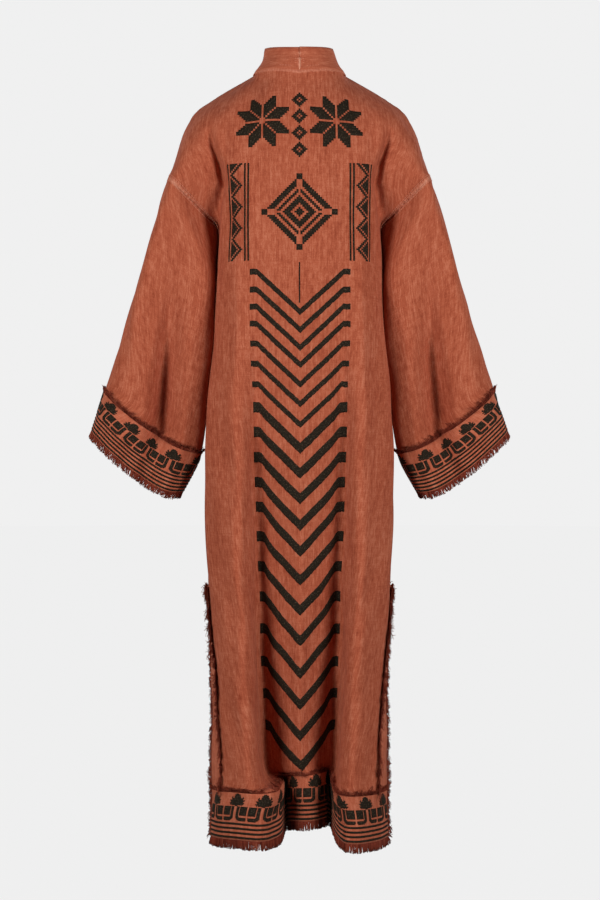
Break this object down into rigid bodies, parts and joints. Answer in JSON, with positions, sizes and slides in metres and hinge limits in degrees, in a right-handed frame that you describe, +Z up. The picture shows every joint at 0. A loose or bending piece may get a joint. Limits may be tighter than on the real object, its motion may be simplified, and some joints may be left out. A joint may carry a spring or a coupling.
{
  "type": "kaftan",
  "caption": "Long open-fronted linen kaftan with a standing neckband, dropped wide sleeves, side slits, frayed bands at cuffs and hem, hollow and filled out as it is worn.",
  "frame": {"origin": "midway between the two side neck points, at the height of the inner ends of the shoulder line, where the garment rests on a wearer's shoulders and neck", "axes": "+Z up, +Y towards the garment's back, +X towards the wearer's left"},
  "size_m": [0.7384, 0.2358, 1.3776],
  "materials": {
    "linen": "washed rust-red linen, matt, with an upright slub weave and dark embroidery",
    "linen_band": "the same linen on neckband, hem, cuffs and slits, a little paler where it is worn",
    "fringe": "frayed linen threads, dark rust-red, matt",
    "embroidery": "near-black olive-brown thread with a slight sheen"
  },
  "bodies": {
    "root": {"back_panel": "linen", "front_panel_left": "linen", "front_panel_right": "linen", "neckband_left": "linen_band", "neckband_right": "linen_band", "sleeve_left": "linen", "sleeve_right": "linen", "cuff_band_left": "linen_band", "cuff_band_right": "linen_band", "hem_band_back": "linen_band", "hem_band_front_left": "linen_band", "hem_band_front_right": "linen_band", "slit_band_back_left": "linen_band", "slit_band_back_right": "linen_band", "slit_band_front_left": "linen_band", "slit_band_front_right": "linen_band", "hem_fringe_back": "fringe", "hem_fringe_front_left": "fringe", "hem_fringe_front_right": "fringe", "hem_top_fringe_back": "fringe", "hem_top_fringe_front_left": "fringe", "hem_top_fringe_front_right": "fringe", "cuff_fringe_left": "fringe", "cuff_fringe_right": "fringe", "cuff_top_fringe_left": "fringe", "cuff_top_fringe_right": "fringe", "slit_fringe_back_left": "fringe", "slit_fringe_back_right": "fringe", "slit_fringe_front_left": "fringe", "slit_fringe_front_right": "fringe"}
  },
  "joints": []
}
